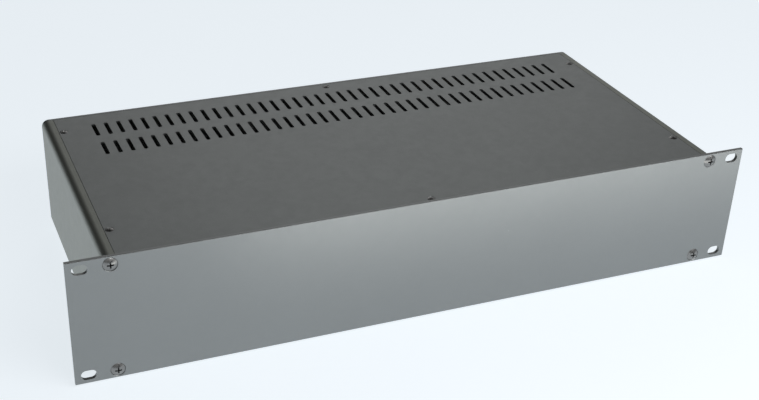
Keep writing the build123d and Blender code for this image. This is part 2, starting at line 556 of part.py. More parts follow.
def mains_inlet():
    """A keyed mains inlet with a screwed flange, and a slot for the fuse drawer below the pins."""
    body = slab(Pos(INLET_X, 0) * RectangleRounded(*INLET_FLANGE), REAR_OUT, INLET_FACE)
    body += across(INLET_X, *INLET_BODY, INLET_BACK, REAR_OUT + 1)
    low, high = RECESS_Z
    recess = block(INLET_X - RECESS_HALF_W, INLET_X + RECESS_HALF_W, RECESS_Y, INLET_FACE + 1, low, high)
    keyed = recess.edges().filter_by(Axis.Y).group_by(Axis.Z)[-1]
    body -= chamfer(keyed, RECESS_KEY)
    low, high = DRAWER_Z
    body -= block(INLET_X - DRAWER_HALF_W - FREE, INLET_X + DRAWER_HALF_W + FREE, DRAWER_Y - FREE,
                  INLET_FACE + 1, low - FREE, high + FREE)
    body -= [Pos(x, INLET_FACE, z) * BACK * sunk_hole(M3, 4) for x, z in INLET_SCREWS]
    return body - pin_blades()


def pin_blades():
    places = ((-PIN_X, PIN_Z), (PIN_X, PIN_Z), (0, EARTH_PIN_Z))
    return [block(INLET_X + x - PIN_T / 2, INLET_X + x + PIN_T / 2, PIN_BACK, REAR_OUT,
                  z - PIN_H / 2, z + PIN_H / 2) for x, z in places]


def inlet_pins():
    return apart(pin_blades())


def fuse_drawer():
    """A tray that slides out of the inlet with the fuse lying in it."""
    low, high = DRAWER_Z
    tray = block(INLET_X - DRAWER_HALF_W, INLET_X + DRAWER_HALF_W, DRAWER_Y, DRAWER_END, low, high)
    room, start, middle = FUSE_R + RUN, DRAWER_Y + DRAWER_WALL, (low + high) / 2
    tray -= block(INLET_X - room, INLET_X + room, start, start + FUSE_L, middle - room, high + 1)
    grip = block(INLET_X - GRIP_HALF_W, INLET_X + GRIP_HALF_W, DRAWER_END - GRIP, DRAWER_END + 1,
                 high - GRIP, high + 1)
    return tray - grip


def fuse():
    """A glass fuse with a metal cap on each end."""
    middle, start = sum(DRAWER_Z) / 2, DRAWER_Y + DRAWER_WALL
    end = start + FUSE_L
    glass = rod_y(INLET_X, middle, FUSE_R - 0.3, start + FUSE_CAP_L, end - FUSE_CAP_L)
    caps = [rod_y(INLET_X, middle, FUSE_R, start, start + FUSE_CAP_L)]
    caps.append(rod_y(INLET_X, middle, FUSE_R, end - FUSE_CAP_L, end))
    return apart([glass, *caps])


def rocker_switch_housing():
    """The switch body, with a well for the rocker and a bearing hole on each side of it."""
    housing = slab(Pos(SWITCH_X, 0) * RectangleRounded(*SWITCH_BEZEL), REAR_OUT, REAR_OUT + BEZEL_T)
    housing += across(SWITCH_X, *SWITCH_BODY, SWITCH_BACK, REAR_OUT + 1)
    housing -= across(SWITCH_X, *SWITCH_WELL, SWITCH_WELL_Y, REAR_OUT + BEZEL_T + 1)
    reach = TRUNNION_X + OPENING
    return housing - rod_x(ROCKER_PIVOT_Y, 0, TRUNNION_R + RUN, SWITCH_X - reach, SWITCH_X + reach)


def power_rocker():
    """The rocker on its two trunnions, with its upper half standing proud in the off position."""
    upper = [(0, ROCKER_VALLEY), (ROCKER_HALF_H, ROCKER_PEAK), (ROCKER_HALF_H, 0), (KEEL_HALF_H, KEEL_Y)]
    lower = [(-z, y) for z, y in reversed(upper[1:])]
    outline = Polygon(*upper, *lower, align=None)
    paddle = extrude(outline, 2 * ROCKER_HALF_W, dir=(0, 0, 1))
    paddle = Pos(ROCKER_HALF_W, 0, 0) * Rot(0, -90, 0) * paddle  # the outline's first axis turns to Z
    rocker = paddle + rod_x(0, 0, TRUNNION_R, -TRUNNION_X, TRUNNION_X)
    return Pos(SWITCH_X, ROCKER_PIVOT_Y, 0) * Rot(-ROCKER_TILT, 0, 0) * rocker


# ---- audio connectors ----
def flange_plate(x):
    return slab(Pos(x, 0) * RectangleRounded(FLANGE_W, FLANGE_H, FLANGE_R), REAR_OUT, REAR_OUT + FLANGE_T)


def flange_holes(x):
    places = [(x + side * FLANGE_SCREW_X, -side * FLANGE_SCREW_Z) for side in (-1, 1)]
    return [Pos(sx, REAR_OUT + FLANGE_T, sz) * BACK * sunk_hole(M3, FLANGE_T + 1) for sx, sz in places]


TAB_HALF_W, TAB_Z, TAB_Y, TAB_END = 3.6, (11.0, 14.0), 196.0, REAR_OUT + FLANGE_T + 1.4
TAB_CUT_HALF_W, TAB_CUT_Z = 4.6, (8.0, 14.8)
XLR_BORE_R, XLR_INSERT_R, XLR_SHELL_BACK, XLR_FACE = 9.6, 7.8, 182.0, REAR_OUT + 1.0
XLR_HOLES, XLR_HOLE_R, XLR_HOLE_L = ((-3.6, -1.6), (3.6, -1.6), (0.0, 4.0)), 1.3, 13.0


def xlr_shells():
    """Metal input socket shells: a flange, a barrel through the panel and a window for the latch tab."""
    made = []
    for x in XLR_X:
        shell = flange_plate(x) + rod_y(x, 0, BARREL_R, XLR_SHELL_BACK, REAR_OUT + 1)
        shell -= rod_y(x, 0, XLR_BORE_R, XLR_SHELL_BACK - 1, REAR_OUT + FLANGE_T + 1)
        low, high = TAB_Z
        shell -= block(x - TAB_HALF_W - FREE, x + TAB_HALF_W + FREE, TAB_Y - 2.5, REAR_OUT + FLANGE_T + 1,
                       low - FREE, high + FREE)
        made.append(shell - flange_holes(x))
    return apart(made)


def xlr_inserts():
    """The insulators with three contact holes, each closed by a disc at the back."""
    made = []
    for x in XLR_X:
        insert = rod_y(x, 0, XLR_INSERT_R, INPUT_Y, XLR_FACE)
        insert += rod_y(x, 0, XLR_BORE_R, XLR_SHELL_BACK, XLR_SHELL_BACK + 4)
        for dx, dz in XLR_HOLES:
            insert -= rod_y(x + dx, dz, XLR_HOLE_R, XLR_FACE - XLR_HOLE_L, XLR_FACE + 1)
        made.append(insert)
    return apart(made)


def latch_tab(x):
    low, high = TAB_Z
    tab = block(x - TAB_HALF_W, x + TAB_HALF_W, TAB_Y, TAB_END, low, high)
    return fillet(tab.faces().sort_by(Axis.Y)[-1].edges(), 0.5)


def left_latch_tab():
    return latch_tab(XLR_X[0])


def right_latch_tab():
    return latch_tab(XLR_X[1])


WELL_R, CORE_R, CORE_BACK, SOCKET_BACK = 10.6, 7.4, 186.0, 180.0
GROOVE_AT, GROOVE_W, GROOVE_T, GROOVE_Y = 10.9, 3.0, 1.2, 192.0
BLADE_AT, BLADE_W, BLADE_T, BLADE_Y = 6.9, 4.0, 1.0, (176.0, REAR_OUT - 2.0)


def speaker_sockets():
    """Twist-lock speaker sockets: a flanged shell with two grooves, and a round core on a base disc."""
    made, face = [], REAR_OUT + FLANGE_T
    for x in SPEAKER_X:
        shell = flange_plate(x) + rod_y(x, 0, BARREL_R, SOCKET_BACK, REAR_OUT + 1)
        shell -= rod_y(x, 0, WELL_R, SOCKET_BACK - 1, face + 1)
        for z in (-GROOVE_AT, GROOVE_AT):
            shell -= block(x - GROOVE_W / 2, x + GROOVE_W / 2, GROOVE_Y, face + 1,
                           z - GROOVE_T / 2, z + GROOVE_T / 2)
        core = rod_y(x, 0, WELL_R, SOCKET_BACK, CORE_BACK) + rod_y(x, 0, CORE_R, CORE_BACK - 1, face - 0.5)
        made += [shell - flange_holes(x), core - contact_blades(x)]
    return apart(made)


def contact_blades(x):
    """Four flat contacts let into the core of a speaker socket."""
    half_w, half_t, blades = BLADE_W / 2, BLADE_T / 2, []
    for at in (-BLADE_AT, BLADE_AT):
        blades.append(block(x + at - half_t, x + at + half_t, *BLADE_Y, -half_w, half_w))
        blades.append(block(x - half_w, x + half_w, *BLADE_Y, at - half_t, at + half_t))
    return blades


def speaker_contacts():
    return apart([blade for x in SPEAKER_X for blade in contact_blades(x)])


def connector_screws():
    screw = BACK * sunk_screw(M3, FLANGE_SCREW_L)
    made = [Pos(x, REAR_OUT + FLANGE_T, z) * screw for x, z in FLANGE_SCREWS]
    made += [Pos(x, INLET_FACE, z) * BACK * sunk_screw(M3, INLET_SCREW_L) for x, z in INLET_SCREWS]
    return apart(made + [Pos(x, REAR_OUT, z) * screw for x, z in GROUND_SCREWS])


# ---- binding posts ----
def binding_post_bases():
    """Insulating plates on both faces of the rear panel, with collars through it."""
    made = []
    for x in POST_X:
        shape = Pos(x, 0) * RectangleRounded(*POST_PLATE)
        outer, inner = slab(shape, REAR_OUT, REAR_OUT + 3), slab(shape, REAR_IN - 2.5, REAR_IN)
        for z in (-POST_PITCH / 2, POST_PITCH / 2):
            outer += rod_y(x, z, COLLAR_R, REAR_IN, REAR_OUT + 1)
            outer -= rod_y(x, z, POST_R + FIT, REAR_IN - 1, REAR_OUT + 4)
            inner -= rod_y(x, z, POST_R + FIT, REAR_IN - 4, REAR_IN + 1)
        made += [outer, inner]
    return apart(made)


def binding_post_studs():
    """Round studs with a plug bore in the end."""
    made = []
    for x, z in POST_POINTS:
        bore = rod_y(x, z, POST_BORE_R, POST_END - POST_BORE_L, POST_END + 1)
        made.append(rod_y(x, z, POST_R, POST_START, POST_END) - bore)
    return apart(made)


def post_cap(x, z):
    """A fluted screw-down cap on a binding post."""
    cap = rod_y(x, z, CAP_R, REAR_OUT + 3.4, POST_END)
    cap = chamfer(cap.edges().filter_by(GeomType.CIRCLE), 0.7)
    groove = rod_y(CAP_R + CAP_FLUTE_R / 2, 0, CAP_FLUTE_R, REAR_OUT + 5, POST_END - 5)
    cap -= [Pos(x, 0, z) * Rot(0, 360 / CAP_FLUTES * i, 0) * groove for i in range(CAP_FLUTES)]
    return cap - rod_y(x, z, POST_R + RUN, REAR_OUT, POST_END + 1)


def connector_nuts():
    """Nuts on the binding posts, the level controls and the earth stud."""
    made = [nut_y(x, z, 8, POST_R + FIT, REAR_IN - 5.5, REAR_IN - 2.5) for x, z in POST_POINTS]
    made += [nut_y(x, 0, 10, POT_BUSH_R + FIT, REAR_OUT, REAR_OUT + 2.4) for x in POT_X]
    made.append(nut_y(EARTH_X, EARTH_Z, 8, M5_HOLE, REAR_IN - 4, REAR_IN))
    made += [nut_y(EARTH_X, EARTH_Z, 8, M5_HOLE, y, y + 4) for y in (REAR_OUT, REAR_OUT + 6)]
    return apart(made)


def earth_stud():
    stud = rod_y(EARTH_X, EARTH_Z, M5[0], *EARTH_Y)
    return chamfer(stud.edges(), 0.5)


# ---- level controls and ground switch ----
def level_pots():
    made = []
    for x in POT_X:
        pot = rod_y(x, 0, POT_R, POT_START, REAR_IN) + rod_y(x, 0, POT_BUSH_R, REAR_IN - 1, REAR_OUT + 5)
        pot += block(x - 5, x + 5, INPUT_Y, POT_START + 1, *POT_TAGS_Z)
        made.append(pot - rod_y(x, 0, SHAFT_R + RUN, SHAFT_START - 1, REAR_OUT + 6))
    return apart(made)


def pot_shaft(x):
    return rod_y(x, 0, SHAFT_R, SHAFT_START, SHAFT_END)


def level_knob(x):
    """A fluted knob with a pointer groove, pressed on its shaft."""
    knob = chamfer(rod_y(x, 0, KNOB_R, KNOB_Y, KNOB_END).edges().filter_by(GeomType.CIRCLE), 0.8)
    flute = rod_y(KNOB_R + KNOB_FLUTE_R / 2, 0, KNOB_FLUTE_R, KNOB_Y + 2, KNOB_END + 1)
    knob -= [Pos(x, 0, 0) * Rot(0, 360 / KNOB_FLUTES * (i + 0.5), 0) * flute for i in range(KNOB_FLUTES)]
    half_w, depth = POINTER
    knob -= block(x - half_w, x + half_w, KNOB_END - depth, KNOB_END + 1, 2, KNOB_R + 1)
    return knob - rod_y(x, 0, SHAFT_R, KNOB_Y - 1, SHAFT_END)


def ground_switch_frame():
    """A slide switch behind the panel, open in front for its lever."""
    frame = across(GROUND_X, *SLIDE_BODY, SLIDE_Y, REAR_IN)
    frame -= across(GROUND_X, *SLIDE_WELL, SLIDE_WELL_Y, REAR_OUT)
    return frame - [rod_y(x, z, M3_HOLE, SLIDE_WELL_Y + 1, REAR_OUT) for x, z in GROUND_SCREWS]


def ground_switch_lever():
    """The slide switch's lever, at the left end of its travel."""
    left = GROUND_X - LEVER_W - 0.2
    lever = block(left, left + LEVER_W, LEVER_START, REAR_OUT + 2.5, -LEVER_HALF_H, LEVER_HALF_H)
    return fillet(lever.faces().sort_by(Axis.Y)[-1].edges(), 0.4)


# ---- wiring: round wires in straight runs joined by tangent arcs ----
def wire(radius, points):
    """A wire along a route, with each corner rounded as far as its two runs allow."""
    corners = [Vector(*point) for point in points]
    bends = []
    for before, here, after in zip(corners, corners[1:], corners[2:]):
        into, out = here - before, after - here
        bends.append(0.45 * min(into.length, out.length, 40) / tan(radians(into.get_angle(out)) / 2))
    path = FilletPolyline(*points, radius=bends) if bends else Line(*points)
    start = Plane(origin=corners[0], z_dir=corners[1] - corners[0])
    return sweep(start * Circle(radius), path=path)


def power_wiring():
    """Mains, transformer secondary, supply and speaker wires."""
    mains, speaker, supply = [], [], []
    for side, y in ((1, 162), (-1, 152)):
        pin_x, tag_x = INLET_X + side * PIN_X, SWITCH_X - side * 4
        mains.append([(pin_x, PIN_BACK, PIN_Z), (pin_x, y, PIN_Z), (tag_x, y, PIN_Z),
                      (tag_x, SWITCH_BACK, PIN_Z)])
    mains.append([(INLET_X, PIN_BACK, EARTH_PIN_Z), (INLET_X, 163, EARTH_PIN_Z), (120, 158, 12),
                  (EARTH_X, 168, EARTH_Z), (EARTH_X, EARTH_Y[0], EARTH_Z)])
    mains.append([(SWITCH_X, SWITCH_BACK, -6), (SWITCH_X, 142, -6), (TOROID_X, 138, -6),
                  (TOROID_X, 120.1, -6)])
    for board_x, side_x, turn_y, socket_x in ((-66, -54, 110, SPEAKER_X[0]), (88, 97, 122, SPEAKER_X[1])):
        speaker.append([(board_x, 92, BOARD_TOP), (board_x, 92, -8), (side_x, turn_y, -8), (side_x, 168, -8),
                        (socket_x, 168, -BLADE_AT), (socket_x, BLADE_Y[0], -BLADE_AT)])
    for rectifier_x, y in zip(RECTIFIER_X, (66, 61)):
        x, tab_y, tab_z = rectifier_x + 4.5, 48, FLOOR + RECTIFIER_H
        speaker.append([(93.9, y, -2), (x, y, -2), (x, tab_y, -2), (x, tab_y, tab_z)])
    for x in (1, 7):
        supply.append([(x, 60, BOARD_TOP), (x, 60, -16), (x, 75, -16), (x, 75, BOARD_TOP)])
    return apart([wire(radius, points) for radius, runs in ((1.3, mains), (1.2, speaker), (1.0, supply))
                  for points in runs])


def signal_wiring():
    """Screened leads from the input board to each amplifier board."""
    face, routes = INPUT_Y - BOARD_T, []
    for start, end, z in ((-58, -72, 12), (-51, -38, 17)):
        routes.append([(start, face, z), (start, 84, z), (end, 78, z), (end, 78, BOARD_TOP)])
    return apart([wire(1.0, points) for points in routes])


# ---- one STEP file for each node ----
CAPS = {"left_black_cap": 0, "left_red_cap": 1, "right_black_cap": 2, "right_red_cap": 3}
NODES = {
    "front_panel": front_panel,
    "left_side_extrusion": lambda: mirrored_x(side_extrusion()),
    "right_side_extrusion": side_extrusion,
    "top_cover": plain_cover,
    "bottom_cover": bottom_cover,
    "rear_panel": rear_panel,
    "tie_bars": tie_bars,
    "tie_bar_screws": tie_bar_screws,
    "panel_screws": panel_screws,
    "cover_screws": cover_screws,
    "floor_screws": floor_screws,
    "rubber_feet": rubber_feet,
    "supply_board": supply_board,
    "left_amplifier_board": left_amplifier_board,
    "right_amplifier_board": right_amplifier_board,
    "input_board": input_board,
    "board_standoffs": board_standoffs,
    "inner_screws": inner_screws,
    "reservoir_capacitors": reservoir_capacitors,
    "bridge_rectifiers": bridge_rectifiers,
    "amplifier_components": amplifier_components,
    "left_heatsink": left_heatsink,
    "right_heatsink": right_heatsink,
    "heatsink_brackets": heatsink_brackets,
    "output_transistors": output_transistors,
    "transistor_pads": transistor_pads,
    "transformer_winding": transformer_winding,
    "transformer_pads": transformer_pads,
    "transformer_dish": transformer_dish,
    "transformer_bolt": transformer_bolt,
    "mains_inlet": mains_inlet,
    "inlet_pins": inlet_pins,
    "fuse_drawer": fuse_drawer,
    "fuse": fuse,
    "rocker_switch_housing": rocker_switch_housing,
    "power_rocker": power_rocker,
    "xlr_shells": xlr_shells,
    "xlr_inserts": xlr_inserts,
    "left_latch_tab": left_latch_tab,
    "right_latch_tab": right_latch_tab,
    "speaker_sockets": speaker_sockets,
    "speaker_contacts": speaker_contacts,
    "connector_screws": connector_screws,
    "connector_nuts": connector_nuts,
    "binding_post_bases": binding_post_bases,
    "binding_post_studs": binding_post_studs,
    "earth_stud": earth_stud,
    "level_pots": level_pots,
    "left_pot_shaft": lambda: pot_shaft(POT_X[0]),
    "right_pot_shaft": lambda: pot_shaft(POT_X[1]),
    "left_level_knob": lambda: level_knob(POT_X[0]),
    "right_level_knob": lambda: level_knob(POT_X[1]),
    "ground_switch_frame": ground_switch_frame,
    "ground_switch_lever": ground_switch_lever,
    "power_wiring": power_wiring,
    "signal_wiring": signal_wiring,
}

os.makedirs("parts", exist_ok=True)
for name, make in NODES.items():
    export_step(make(), f"parts/{name}.step")
for name, index in CAPS.items():
    export_step(post_cap(*POST_POINTS[index]), f"parts/{name}.step")
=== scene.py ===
"""Looks, light and camera for a two-channel power amplifier in a 2U rack case.

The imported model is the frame. Lengths are in metres, +X is to the right as seen from the front,
+Y goes to the back and +Z is up.
"""

import json
import math

import bmesh
import bpy
from mathutils import Matrix, Vector


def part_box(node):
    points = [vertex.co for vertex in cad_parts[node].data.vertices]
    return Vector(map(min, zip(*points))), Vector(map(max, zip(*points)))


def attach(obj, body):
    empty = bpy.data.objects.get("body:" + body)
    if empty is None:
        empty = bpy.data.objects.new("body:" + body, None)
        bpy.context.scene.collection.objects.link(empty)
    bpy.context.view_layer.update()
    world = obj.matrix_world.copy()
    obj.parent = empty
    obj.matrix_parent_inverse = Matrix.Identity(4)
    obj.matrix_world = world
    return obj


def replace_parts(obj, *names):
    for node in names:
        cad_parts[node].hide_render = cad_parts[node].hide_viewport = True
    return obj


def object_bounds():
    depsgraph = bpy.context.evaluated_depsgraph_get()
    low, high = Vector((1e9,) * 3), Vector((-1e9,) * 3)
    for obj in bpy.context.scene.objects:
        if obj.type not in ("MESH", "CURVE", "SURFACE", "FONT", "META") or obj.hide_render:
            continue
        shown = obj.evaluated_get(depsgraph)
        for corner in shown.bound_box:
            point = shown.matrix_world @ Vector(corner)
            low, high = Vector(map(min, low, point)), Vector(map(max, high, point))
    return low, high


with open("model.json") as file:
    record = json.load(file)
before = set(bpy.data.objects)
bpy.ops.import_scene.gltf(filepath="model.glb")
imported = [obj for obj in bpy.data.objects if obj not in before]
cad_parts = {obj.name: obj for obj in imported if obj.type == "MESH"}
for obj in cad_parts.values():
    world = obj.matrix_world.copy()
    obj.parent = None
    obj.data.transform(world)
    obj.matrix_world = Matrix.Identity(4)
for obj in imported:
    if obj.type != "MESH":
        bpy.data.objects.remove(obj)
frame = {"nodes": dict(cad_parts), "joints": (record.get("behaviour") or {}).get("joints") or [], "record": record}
nodes = frame["nodes"]
cad_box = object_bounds()
MM = 0.001
MIX_A, MIX_B, MIX_COLOUR = 6, 7, 2  # a colour Mix node's two inputs and its output, by place


# ---- node helpers ----
def ramped(tree, value, stops):
    """A grey ramp in a node tree, through (position, value) stops."""
    ramp = tree.nodes.new("ShaderNodeValToRGB")
    tree.links.new(value, ramp.inputs["Fac"])
    elements = ramp.color_ramp.elements
    while len(elements) < len(stops):
        elements.new(0.5)
    for element, (position, grey) in zip(elements, stops):
        element.position = position
        element.color = (grey, grey, grey, 1)
    return ramp.outputs["Color"]


class Finish:
    """A node material built up in layers over one Principled shader, in object space, so in metres."""

    def __init__(self, name, colour, metallic=0.0, roughness=0.5, **sockets):
        self.material = bpy.data.materials.new(name)
        self.material.use_nodes = True
        self.tree = self.material.node_tree
        self.shader = self.tree.nodes["Principled BSDF"]
        self.shader.inputs["Base Color"].default_value = (*colour, 1)
        self.shader.inputs["Metallic"].default_value = metallic
        self.shader.inputs["Roughness"].default_value = roughness
        for socket, value in sockets.items():
            self.shader.inputs[socket.replace("_", " ")].default_value = value
        self.base = colour
        self.colour = (*colour, 1)  # what the next layer goes over: a plain colour, then a socket
        self.normal = None  # the last bump laid down
        self.place = self.tree.nodes.new("ShaderNodeTexCoord").outputs["Object"]

    def node(self, kind, **inputs):
        """A new shader node with inputs given as values or as sockets to link."""
        made = self.tree.nodes.new("ShaderNode" + kind)
        for socket, value in inputs.items():
            self.put(made.inputs[socket.replace("_", " ")], value)
        return made

    def put(self, socket, value):
        if isinstance(value, bpy.types.NodeSocket):
            self.tree.links.new(value, socket)
        else:
            socket.default_value = value

    def math(self, operation, *values):
        """The output of a Math node."""
        made = self.tree.nodes.new("ShaderNodeMath")
        made.operation = operation
        for socket, value in zip(made.inputs, values):
            self.put(socket, value)
        return made.outputs[0]

    def noise(self, size, detail=2.0, stretch=(1, 1, 1)):
        """Noise whose features are about `size` metres across, divided by stretch along each axis."""
        place = self.node("Mapping", Vector=self.place, Scale=stretch).outputs["Vector"]
        return self.node("TexNoise", Vector=place, Scale=1 / size, Detail=detail).outputs["Fac"]

    def steps(self, value, *stops):
        """A grey ramp through (position, value) stops."""
        return ramped(self.tree, value, stops)

    def mixed(self, mask, colour):
        """Lay a colour over what is there, where the mask is white."""
        made = self.tree.nodes.new("ShaderNodeMix")
        made.data_type = "RGBA"
        self.put(made.inputs["Factor"], mask)
        self.put(made.inputs[MIX_A], self.colour)
        self.put(made.inputs[MIX_B], (*colour, 1))
        self.colour = made.outputs[MIX_COLOUR]
        self.put(self.shader.inputs["Base Color"], self.colour)

    def mottled(self, size, amount):
        """Darken the colour here and there by up to this share."""
        mask = self.steps(self.noise(size, 3.0), (0.3, 0.0), (0.7, 1.0))
        self.mixed(mask, tuple(c * (1 - amount) for c in self.base))

    def rough(self, size, low, high, detail=2.0, stretch=(1, 1, 1)):
        """Let the roughness wander between two values."""
        made = self.node("MapRange", Value=self.noise(size, detail, stretch), From_Min=0.3, From_Max=0.7,
                         To_Min=low, To_Max=high)
        self.put(self.shader.inputs["Roughness"], made.outputs["Result"])

    def bumped(self, height, depth):
        """Raise the surface by a height texture, `depth` metres from black to white."""
        made = self.node("Bump", Height=height, Distance=depth, Strength=1.0)
        if self.normal is not None:
            self.put(made.inputs["Normal"], self.normal)
        self.normal = made.outputs["Normal"]
        self.put(self.shader.inputs["Normal"], self.normal)

    def grained(self, size, depth, detail=2.0, stretch=(1, 1, 1)):
        """A bumpy grain of noise."""
        self.bumped(self.noise(size, detail, stretch), depth)

    def specked(self, spacing, share, colour, size=0.12):
        """Sparse specks, such as dust. Share is how many of the cells hold one."""
        cells = self.node("TexVoronoi", Vector=self.place, Scale=1 / spacing)
        near = self.steps(cells.outputs["Distance"], (size * 0.6, 1.0), (size, 0.0))
        chosen = self.node("SeparateColor", Color=cells.outputs["Color"]).outputs["Red"]
        some = self.math("LESS_THAN", chosen, share)
        self.mixed(self.math("MULTIPLY", near, some), colour)


# ---- materials ----
def anodised(name, colour, along=(1, 1, 1)):
    """Satin anodised aluminium: fine pits, faint drawing lines and a slow drift in tone."""
    finish = Finish(name, colour, 0.85, 0.42)
    finish.mottled(60 * MM, 0.03)
    finish.mixed(finish.steps(finish.noise(0.5 * MM, 1.0, along), (0.42, 0.0), (0.75, 0.16)),
                 tuple(min(1, c * 1.5) for c in colour))
    finish.specked(14 * MM, 0.05, tuple(min(1, c * 1.3) for c in colour), 0.035)
    finish.rough(5 * MM, 0.40, 0.44)
    finish.grained(0.35 * MM, 0.008 * MM, 3.0, along)
    return finish.material


def dyed(name, colour):
    """Aluminium anodised and dyed black, dull from etching."""
    finish = Finish(name, colour, 0.15, 0.62)
    finish.mottled(20 * MM, 0.2)
    finish.rough(4 * MM, 0.58, 0.68, 2.0, (4, 4, 1))
    finish.grained(0.4 * MM, 0.01 * MM)
    return finish.material


def plated(name, colour, roughness):
    """Plated steel with a soft cloudiness and fine turning marks."""
    finish = Finish(name, colour, 1.0, roughness)
    finish.mottled(3 * MM, 0.14)
    finish.rough(1.2 * MM, roughness * 0.8, roughness * 1.3, 3.0)
    finish.grained(0.25 * MM, 0.012 * MM)
    return finish.material


def moulded(name, colour, roughness):
    """Moulded plastic with a fine spark-eroded texture and a little rubbed shine."""
    finish = Finish(name, colour, 0.0, roughness)
    finish.mottled(9 * MM, 0.18)
    finish.specked(3 * MM, 0.04, tuple(c * 1.6 + 0.02 for c in colour), 0.06)
    finish.rough(6 * MM, roughness * 0.85, roughness * 1.2)
    finish.grained(0.35 * MM, 0.03 * MM)
    return finish.material


def rubbery(name, colour):
    finish = Finish(name, colour, 0.0, 0.8)
    finish.mottled(2 * MM, 0.3)
    finish.rough(3 * MM, 0.7, 0.9)
    finish.grained(0.5 * MM, 0.06 * MM, 4.0)
    return finish.material


def laminate(name, colour):
    """A circuit board: solder mask over tracks, with a weave below."""
    finish = Finish(name, colour, 0.0, 0.35, Coat_Weight=0.3)
    tracks = finish.node("TexBrick", Vector=finish.place, Scale=60.0, Mortar_Size=0.05, Bias=-0.4)
    tracks.offset = 0.37
    finish.mixed(tracks.outputs["Fac"], tuple(c * 1.9 for c in colour))
    weave = finish.node("TexWave", Vector=finish.place, Scale=260.0, Distortion=1.0).outputs["Fac"]
    finish.mixed(finish.math("MULTIPLY", weave, 0.12), tuple(c * 0.5 for c in colour))
    finish.rough(4 * MM, 0.28, 0.45)
    finish.bumped(tracks.outputs["Fac"], 0.03 * MM)
    return finish.material


def sleeved(name, colour):
    """Shrink sleeve over a can, with faint wrinkles."""
    finish = Finish(name, colour, 0.0, 0.28, Coat_Weight=0.25)
    finish.mottled(12 * MM, 0.2)
    finish.rough(5 * MM, 0.22, 0.36)
    finish.grained(6 * MM, 0.12 * MM, 2.0, (1, 1, 0.3))
    return finish.material


def taped(name, colour):
    """Polyester tape wound round the transformer."""
    finish = Finish(name, colour, 0.0, 0.3, Coat_Weight=0.5)
    finish.mottled(14 * MM, 0.25)
    finish.specked(5 * MM, 0.2, tuple(c * 0.6 for c in colour), 0.2)
    finish.rough(8 * MM, 0.24, 0.4)
    finish.grained(2.5 * MM, 0.08 * MM)
    return finish.material


def insulated(name, colour):
    """Plastic wire insulation."""
    finish = Finish(name, colour, 0.0, 0.42)
    finish.mottled(7 * MM, 0.2)
    finish.rough(4 * MM, 0.36, 0.5)
    finish.grained(1.2 * MM, 0.03 * MM)
    return finish.material


def clear_glass(name, colour):
    finish = Finish(name, colour, 0.0, 0.05, Transmission_Weight=0.9, IOR=1.47)
    finish.rough(2 * MM, 0.03, 0.1)
    finish.grained(3 * MM, 0.01 * MM)
    return finish.material


def printed(name, colour):
    """Screen printing ink."""
    finish = Finish(name, colour, 0.0, 0.55)
    finish.mottled(1.0 * MM, 0.12)
    finish.rough(0.8 * MM, 0.48, 0.65)
    finish.grained(0.15 * MM, 0.01 * MM)
    return finish.material


CASE_GREY = (0.231, 0.245, 0.243)
MATERIALS = {
    # The front panel is a little lighter than the case grey of the lid and rear. This is partly its own anodising
    # and partly painted light, standing in for the front catching more light than the lid.
    "panel_anodised": anodised("panel_anodised", (0.264, 0.275, 0.274), (1, 1, 12)),
    "cover_paint": anodised("cover_paint", CASE_GREY),
    "side_anodised": anodised("side_anodised", (0.240, 0.252, 0.226), (12, 1, 12)),
    "rear_paint": anodised("rear_paint", CASE_GREY),
    "plated_steel": plated("plated_steel", (0.50, 0.50, 0.49), 0.32),
    "screw_steel": plated("screw_steel", (0.26, 0.26, 0.255), 0.3),
    "black_steel": plated("black_steel", (0.05, 0.05, 0.052), 0.4),
    "nickel": plated("nickel", (0.66, 0.64, 0.60), 0.25),
    # darker copy of the nickel for the latch tabs: partly a darker plating, partly painted shade
    "tab_dark_plating_and_shade": plated("tab_dark_plating_and_shade", (0.09, 0.088, 0.083), 0.5),
    "foot_rubber": rubbery("foot_rubber", (0.018, 0.018, 0.019)),
    "board_laminate": laminate("board_laminate", (0.012, 0.07, 0.03)),
    "component_plastic": moulded("component_plastic", (0.05, 0.05, 0.06), 0.4),
    "capacitor_sleeve": sleeved("capacitor_sleeve", (0.012, 0.014, 0.03)),
    "sink_anodised": dyed("sink_anodised", (0.012, 0.012, 0.013)),
    "device_epoxy": moulded("device_epoxy", (0.022, 0.022, 0.023), 0.6),
    "insulator_pad": rubbery("insulator_pad", (0.35, 0.35, 0.37)),
    "winding_tape": taped("winding_tape", (0.55, 0.36, 0.06)),
    "black_plastic": moulded("black_plastic", (0.02, 0.02, 0.021), 0.45),
    "red_plastic": moulded("red_plastic", (0.42, 0.015, 0.012), 0.35),
    "fuse_glass": clear_glass("fuse_glass", (0.85, 0.9, 0.9)),
    "power_wire": insulated("power_wire", (0.30, 0.02, 0.015)),
    "signal_wire": insulated("signal_wire", (0.05, 0.05, 0.055)),
    "white_ink": printed("white_ink", (0.75, 0.75, 0.73)),
    "brass": plated("brass", (0.72, 0.52, 0.22), 0.28),
    "bare_aluminium": plated("bare_aluminium", (0.72, 0.73, 0.74), 0.35),
}


def paint_nodes():
    """Give every CAD node the material of its slot, and the latch tabs a darker copy of the nickel: partly a
    darker plating, partly painted shade that keeps them dark where shade falls on them.
    """
    for entry in frame["record"]["subparts"]:
        node = nodes[entry["node"]]
        finish = "tab_dark_plating_and_shade" if node.name.endswith("latch_tab") else entry["material_slot"]
        node.data.materials.clear()
        node.data.materials.append(MATERIALS[finish])


paint_nodes()


# ---- detail pieces ----
PANEL_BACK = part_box("rear_panel")[1].y  # outer face of the rear panel
INK = 0.06 * MM  # thickness of a printed mark


